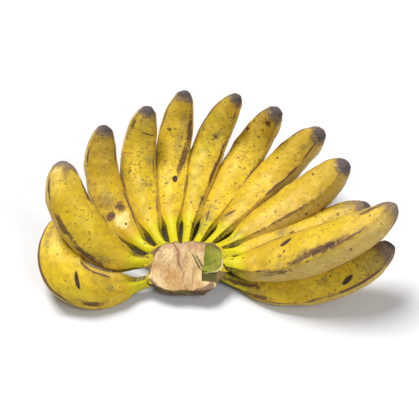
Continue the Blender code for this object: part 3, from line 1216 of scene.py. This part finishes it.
@dataclass(frozen=True)
class Crown:
    """The stump that every stalk grows from: a tapered block with round corners, trimmed by knife cuts.

    Attributes:
        half_width: half its width at the top, in metres.
        half_depth: half its depth at the top.
        foot: height of its underside.
        top: height of its top.
        foot_share: the size of its foot, as a share of its top.
        core: the point inside it that the surface is measured from, from the crown's middle at the table.
        cuts: its knife cuts.
    """

    half_width: float = 39 * MM
    half_depth: float = 22 * MM
    foot: float = 5 * MM
    top: float = 38 * MM
    foot_share: float = 0.72
    core: Spot = (2 * MM, 3 * MM, 15 * MM)
    cuts: tuple[Cut, ...] = (
        Cut((-2 * MM, 21 * MM, 37 * MM), -96.0, 62.0),
        Cut((15 * MM, -3 * MM, 26 * MM), -68.0, 61.0),
        Cut((22 * MM, -12 * MM, 14 * MM), -40.0, -35.0),
    )
    finish: CrownFinish = CrownFinish()

    ROWS = 250
    COLUMNS = 330
    FACE_MIDDLE = (-6.4 * MM, -0.7 * MM, 25.3 * MM)
    BLOCK_POWER = 14
    COLLAR_POWER = 26
    CUT_POWER = 60
    GNARL = 0.7 * MM
    NECK_HEIGHT = 17 * MM
    FAR = 0.15
    HALVINGS = 30

    def wall(self, way: np.ndarray) -> np.ndarray:
        """The distance from the core to the tapered side wall.

        The formula is the root of |x / a|^3 + |y / b|^3 = 1, where a and b shrink evenly towards the foot. It is
        found by halving a span of distances.

        Args:
            way: unit vectors away from the core.

        Returns:
            A distance for each of them.
        """
        near, far = np.zeros(way.shape[:-1]), np.full(way.shape[:-1], self.FAR)
        for _ in range(self.HALVINGS):
            tried = (near + far) / 2
            x, y, z = np.moveaxis(np.array(self.core) + way * tried[..., None], -1, 0)
            size = self.foot_share + (1 - self.foot_share) * np.clip((z - self.foot) / (self.top - self.foot), 0, 1)
            within = np.abs(x / (self.half_width * size)) ** 3 + np.abs(y / (self.half_depth * size)) ** 3 < 1.0
            near, far = np.where(within, tried, near), np.where(within, far, tried)
        return near

    def collars(self, way: np.ndarray, bananas: tuple[Banana, ...]) -> list[np.ndarray]:
        """The distance from the core to the far side of a ball round each stalk's root, or nothing where it misses.

        Args:
            way: unit vectors away from the core.
            bananas: the bananas whose stalks grow from the crown.

        Returns:
            An array of distances for each banana.
        """
        found = []
        for banana in bananas:
            ball = 0.5 * banana.width * MM * banana.FULLNESS[0] * 1.06
            offset = np.array(banana.root) * MM + 3.0 * MM * banana.setting_off() - np.array(self.core)
            toward = way @ offset
            square = toward**2 - (offset @ offset - ball**2)
            hit = toward + np.sqrt(np.maximum(square, 0.0))
            found.append(np.where((square > 0.0) & (toward > 0.0), hit, 1e-4))
        return found

    def block(self, way: np.ndarray, bananas: tuple[Banana, ...]) -> tuple[np.ndarray, np.ndarray]:
        """The distance from the core to the block before it is trimmed.

        The formula joins the distances to the wall, top and foot by a p-norm, which rounds the edges, widens the
        result by the collars in the same way, and adds ripples.

        Args:
            way: unit vectors away from the core.
            bananas: the bananas whose stalks grow from the crown.

        Returns:
            The distances, and how many times the collars widen the block.
        """
        rise = way[..., 2]
        lid = np.where(rise > 1e-6, (self.top - self.core[2]) / np.maximum(rise, 1e-6), 1.0)
        base = np.where(rise < -1e-6, (self.foot - self.core[2]) / np.minimum(rise, -1e-6), 1.0)
        power = self.BLOCK_POWER
        bare = sum(1.0 / distance**power for distance in (self.wall(way), lid, base)) ** (-1.0 / power)
        power = self.COLLAR_POWER
        joined = sum((distance / MM) ** power for distance in (bare, *self.collars(way, bananas)))
        widened = joined ** (1.0 / power) * MM
        gnarl = ripples(way * 30 * MM, 11 * MM, 21) + 0.5 * ripples(way * 30 * MM, 5 * MM, 22)
        return widened + self.GNARL * gnarl, widened / bare

    def skin(self, bananas: tuple[Banana, ...]) -> Skin:
        """The trimmed stump as a surface seen from its core.

        The formula takes, in each direction from the core, the distance to the block and limits it by the cuts,
        joined by a p-norm again. The relief of the cut faces is added to it.

        Args:
            bananas: the bananas whose stalks grow from the crown.

        Returns:
            The closed skin.
        """
        core = np.array(self.core)
        main = self.cuts[0].normal()
        across = np.cross(UP, main)
        across /= np.linalg.norm(across)
        down = np.cross(across, main)
        polar = np.linspace(0.006, math.pi - 0.02, self.ROWS)[:, None]
        azimuth = (np.arange(self.COLUMNS) * 2 * math.pi / self.COLUMNS)[None, :]
        way = (
            np.cos(polar)[..., None] * main
            + (np.sin(polar) * np.cos(azimuth))[..., None] * across
            + (np.sin(polar) * np.sin(azimuth))[..., None] * down
        )
        block, widened = self.block(way, bananas)
        distances = np.stack([block, *(cut.distance(core, way) for cut in self.cuts)])
        power = self.CUT_POWER
        reach = sum(1.0 / distance**power for distance in distances) ** (-1.0 / power)
        nearest = np.argmin(distances, axis=0)
        first, second = np.sort(distances, axis=0)[:2]

        points = way * reach[..., None]
        local = core + points - np.array(self.FACE_MIDDLE)
        face = CrownFace(local @ across / MM, local @ down / MM, (nearest == 1) | (nearest == 2))
        points = points * (1.0 + face.relief(second - first) * MM / reach)[..., None]
        high = points[..., 2] + core[2] > self.NECK_HEIGHT
        values = {"face": local, "neck": ease(1.01, 1.05, widened) * high, **face.values()}
        rings = points + MIDDLE + core
        poles = np.stack((rings[0].mean(axis=0), rings[-1].mean(axis=0)))
        return Skin("crown_stump", rings, poles, values)

    def dress(self, bananas: tuple[Banana, ...], groups: Groups) -> bpy.types.Object:
        """Build the crown, give it its finish and let it stand for its node.

        Args:
            bananas: the bananas whose stalks grow from the crown.
            groups: the shared node groups.

        Returns:
            The finished piece.
        """
        made = self.skin(bananas).build()
        made.data.materials.append(self.finish.build(groups))
        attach(made, "root")
        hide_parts("crown")
        return made


@dataclass(frozen=True)
class Lamp:
    """One soft square light that faces the bunch.

    Attributes:
        name: the light's name.
        place: where it hangs, in metres.
        size: the length of its side.
        power: its power in watts.
    """

    name: str
    place: Spot
    size: float
    power: float

    def hang(self) -> None:
        """Put the light into the scene."""
        data = bpy.data.lights.new(self.name, "AREA")
        data.size = self.size
        data.energy = self.power
        made = placed(self.name, data)
        made.location = self.place
        made.rotation_euler = (-Vector(self.place)).to_track_quat("-Z", "Y").to_euler()


@dataclass(frozen=True)
class Studio:
    """The pale floor, the soft lights and the camera.

    Attributes:
        elevation: the camera's height above the horizon, in degrees.
        distance: from the camera to the point that it looks at, in metres.
        view_width: what the picture spans at that distance.
        aim: the point that it looks at, from the crown's middle at the table.
        lamps: the lights, of which the key hangs high at the back left.
        room: the brightness of the white room.
        floor_side: half the length of the floor.
        floor_colour: its colour.
    """

    elevation: float = 50.0
    distance: float = 1.0
    view_width: float = 419 * 0.92 * MM
    aim: Spot = (19.6 * MM, 60.5 * MM, 35 * MM)
    lamps: tuple[Lamp, ...] = (
        Lamp("key", (-3.0, 4.0, 9.0), 4.0, 1330.0),
        Lamp("fill", (0.9, -0.9, 1.3), 0.8, 12.5),
    )
    room: float = 0.26
    floor_side: float = 6.0
    floor_colour: Colour = (0.69, 0.69, 0.70)

    def camera(self) -> None:
        """Place the camera."""
        data = bpy.data.cameras.new("camera")
        data.lens = data.sensor_width * self.distance / self.view_width
        made = placed("camera", data)
        back = Vector(tilted(-90.0, self.elevation))
        made.location = Vector(MIDDLE + np.array(self.aim)) + back * self.distance
        made.rotation_euler = (-back).to_track_quat("-Z", "Y").to_euler()
        bpy.context.scene.camera = made

    def floor(self) -> None:
        """Lay a wide pale floor under the bunch."""
        side = self.floor_side
        mesh = bpy.data.meshes.new("floor")
        corners = [(-side, -side, 0.0), (side, -side, 0.0), (side, side, 0.0), (-side, side, 0.0)]
        mesh.from_pydata(corners, [], [(0, 1, 2, 3)])
        paint = bpy.data.materials.new("floor_paint")
        paint.use_nodes = True
        surface = paint.node_tree.nodes["Principled BSDF"]
        surface.inputs["Base Color"].default_value = (*self.floor_colour, 1.0)
        surface.inputs["Roughness"].default_value = 0.6
        surface.inputs["Specular IOR Level"].default_value = 0.2
        mesh.materials.append(paint)
        placed("floor", mesh)

    def lights(self) -> None:
        """Light the bunch softly from the upper left, in a bright room."""
        world = bpy.data.worlds.new("room")
        bpy.context.scene.world = world
        world.use_nodes = True
        sky = world.node_tree.nodes["Background"]
        sky.inputs["Color"].default_value = (1.0, 1.0, 1.0, 1.0)
        sky.inputs["Strength"].default_value = self.room
        for lamp in self.lamps:
            lamp.hang()
        bpy.context.scene.view_settings.view_transform = "Standard"


SCAR, BRUISE, SCRAPE, GRIME_AND_SHADE = MarkKind.SCAR, MarkKind.BRUISE, MarkKind.SCRAPE, MarkKind.GRIME_AND_SHADE
BANANAS = (
    Banana(
        "banana_01", (-28, -3, 16), 200, (-171, 90, 17.6), (154, 121, 32), 44,
        PeelFinish(1, freckles=0.3, dull_and_shade=0.0, ridge=1.0), 0.14, -33, -22,
        (
            Mark(SCAR, 0.50, 0.029, 13, 3.4, 43), Mark(BRUISE, 0.39, 0.917, 18, 5),
            Mark(GRIME_AND_SHADE, 0.80, 0.93, 36, 8), Mark(GRIME_AND_SHADE, 0.30, 0.05, 10, 12),
        ),
    ),
    Banana(
        "banana_02", (-31, 9, 26), 188, (167, 91, 48), (147, 127, 88), 43,
        PeelFinish(2, freckles=0.45, tip=0.8, dull_and_shade=0.0, ridge=1.0), 0.13, -16, 0.0,
        (
            Mark(BRUISE, 0.62, 0.895, 24, 3.6), Mark(BRUISE, 0.42, 0.89, 34, 4.6), Mark(GRIME_AND_SHADE, 0.33, 0.93, 18, 9),
            Mark(GRIME_AND_SHADE, 0.90, 0.99, 16, 12),
        ),
    ),
    Banana(
        "banana_03", (-25, 15, 28), 150, (131, 121, 35), (122, 144, 80), 36,
        PeelFinish(3, freckles=1.0, dull_and_shade=0.5, ridge=1.0), 0.16, -3, 0.0,
        (
            Mark(BRUISE, 0.424, 0.037, 12, 8), Mark(BRUISE, 0.395, 0.94, 9, 8), Mark(GRIME_AND_SHADE, 0.50, 0.97, 26, 16),
            Mark(SCRAPE, 0.335, 0.0, 18, 16), Mark(SCRAPE, 0.36, 0.06, 8, 7), Mark(BRUISE, 0.30, 0.02, 3, 3),
        ),
    ),
    Banana(
        "banana_04", (-18, 17, 29), 122, (114, 118, 29), (104, 151, 80), 36,
        PeelFinish(4, freckles=0.95, tip=0.4, green=0.5, dull_and_shade=0.05), 0.175, 0.0, 0.0,
        (
            Mark(BRUISE, 0.855, 0.065, 1.8, 15, 12), Mark(GRIME_AND_SHADE, 0.66, 0.09, 22, 9),
            Mark(GRIME_AND_SHADE, 0.50, 0.03, 16, 14), Mark(BRUISE, 0.89, 0.90, 12, 3),
        ),
    ),
    Banana(
        "banana_05", (-10, 17, 30), 103, (98, 124, 24), (91, 169, 80), 37,
        PeelFinish(5, freckles=0.9, tip=0.45, dull_and_shade=0.1), 0.19, 0.0, 0.0,
        (
            Mark(BRUISE, 0.60, 0.085, 40, 6, 8), Mark(SCAR, 0.465, 0.04, 9, 4), Mark(BRUISE, 0.80, 0.115, 46, 5),
            Mark(GRIME_AND_SHADE, 0.85, 0.06, 26, 10), Mark(BRUISE, 0.78, 0.95, 4, 4), Mark(GRIME_AND_SHADE, 0.70, 0.04, 50, 8),
        ),
    ),
    Banana(
        "banana_06", (-2, 17, 30), 88, (84, 129, 22.5), (74, 170, 80), 35,
        PeelFinish(6, freckles=1.0, tip=0.35, green=0.7, dull_and_shade=0.1, ridge=1.0), 0.19, -4, 0.0,
        (
            Mark(BRUISE, 0.58, 0.15, 70, 5), Mark(BRUISE, 0.346, 0.129, 8, 6), Mark(GRIME_AND_SHADE, 0.75, 0.05, 30, 10),
            Mark(BRUISE, 0.74, 0.04, 5, 5),
        ),
    ),
    Banana(
        "banana_07", (5, 17, 30), 73, (69, 139, 18.6), (60, 168, 78), 36,
        PeelFinish(7, freckles=0.6), 0.175, 0.0, 0.0,
        (
            Mark(GRIME_AND_SHADE, 0.19, 0.95, 34, 20), Mark(GRIME_AND_SHADE, 0.16, 0.03, 26, 16), Mark(GRIME_AND_SHADE, 0.24, 0.0, 34, 20),
            Mark(BRUISE, 0.235, 0.0, 20, 3.2, -6), Mark(BRUISE, 0.80, 0.90, 5, 3), Mark(BRUISE, 0.93, 0.03, 8, 8),
        ),
    ),
    Banana(
        "banana_08", (12, 17, 30), 56, (54, 139, 24), (44, 171, 76), 38,
        PeelFinish(8, freckles=0.55, dull_and_shade=0.35, ridge=1.0), 0.175, -6, 0.0,
        (
            Mark(BRUISE, 0.275, 0.0, 15, 3.6, 30), Mark(GRIME_AND_SHADE, 0.25, 0.98, 26, 16),
            Mark(BRUISE, 0.70, 0.97, 3, 3), Mark(GRIME_AND_SHADE, 0.90, 0.06, 22, 10),
        ),
    ),
    Banana(
        "banana_09", (19, 16, 30), 38, (34, 129, 36), (30, 165, 74), 41,
        PeelFinish(9, freckles=0.6, tip=0.4, dull_and_shade=0.4, ridge=1.0), 0.175, -14, 0.0,
        (
            Mark(BRUISE, 0.55, 0.12, 60, 2.5), Mark(BRUISE, 0.80, 0.95, 3, 3), Mark(BRUISE, 0.62, 0.22, 3, 3),
            Mark(GRIME_AND_SHADE, 0.20, 0.02, 22, 10),
        ),
    ),
    Banana(
        "banana_10", (26, 13, 30), 16, (21, 110, 21), (18, 173, 48), 36,
        PeelFinish(10, freckles=0.6, tip=0.8), 0.13, 10, 0.0,
        (
            Mark(BRUISE, 0.483, 0.004, 7, 3.5, -25), Mark(GRIME_AND_SHADE, 0.43, 0.96, 18, 9),
            Mark(GRIME_AND_SHADE, 0.90, 0.93, 30, 14),
        ),
    ),
    Banana(
        "banana_11", (32, 6, 27), -4, (1, 104, 44), (9, 182, 78), 50,
        PeelFinish(11, freckles=0.4, tip=0.95, tan=0.9, dull_and_shade=0.35, ridge=1.0), 0.06, -18, -14,
        (
            Mark(SCAR, 0.378, 0.963, 13, 5.5, -32), Mark(BRUISE, 0.58, 0.105, 46, 6, 2),
            Mark(SCAR, 0.615, 0.104, 13, 2.6, 3), Mark(SCAR, 0.55, 0.107, 9, 2.0),
            Mark(BRUISE, 0.45, 0.112, 30, 3.2), Mark(GRIME_AND_SHADE, 0.52, 0.10, 100, 9),
            Mark(BRUISE, 0.88, 0.025, 26, 6, 12), Mark(BRUISE, 0.33, 0.18, 22, 2.2, -4),
            Mark(BRUISE, 0.31, 0.155, 14, 1.8, 6), Mark(GRIME_AND_SHADE, 0.28, 0.17, 30, 14),
            Mark(BRUISE, 0.108, 0.979, 3, 3), Mark(BRUISE, 0.045, 0.954, 4, 4), Mark(BRUISE, 0.37, 0.03, 3, 3),
            Mark(GRIME_AND_SHADE, 0.88, 0.97, 34, 12),
        ),
    ),
    Banana(
        "banana_12", (27, 6, 13), -36, (-5, 120, 19.3), (3, 179, 50), 41,
        PeelFinish(12, freckles=0.5, tip=1.0, dull_and_shade=0.2, ridge=1.0), 0.15, 22, 0.0,
        (
            Mark(SCAR, 0.714, 0.066, 12, 3.8, -17), Mark(GRIME_AND_SHADE, 0.87, 0.04, 40, 22),
            # painted shade: the grime marks on this stalk darken the neck that lies in shadow under banana_11
            Mark(BRUISE, 0.24, 0.10, 26, 4), Mark(GRIME_AND_SHADE, 0.22, 0.05, 26, 14), Mark(GRIME_AND_SHADE, 0.12, 0.97, 50, 26),
            Mark(BRUISE, 0.14, 0.0, 40, 8), Mark(GRIME_AND_SHADE, 0.60, 0.02, 9, 7),
        ),
    ),
)


def main() -> None:
    """Build every piece in order and report it."""
    logging.basicConfig(level=logging.INFO, format="%(name)s: %(message)s")
    groups = Groups(freckles_group(), ragged_group())
    made = Crown().dress(BANANAS, groups)
    LOG.info("%s has %d points", made.name, len(made.data.vertices))
    for banana in BANANAS:
        made = banana.dress(groups)
        LOG.info("%s has %d points", made.name, len(made.data.vertices))
    studio = Studio()
    studio.floor()
    studio.lights()
    studio.camera()
    bpy.context.view_layer.update()


if __name__ == "__main__":
    main()
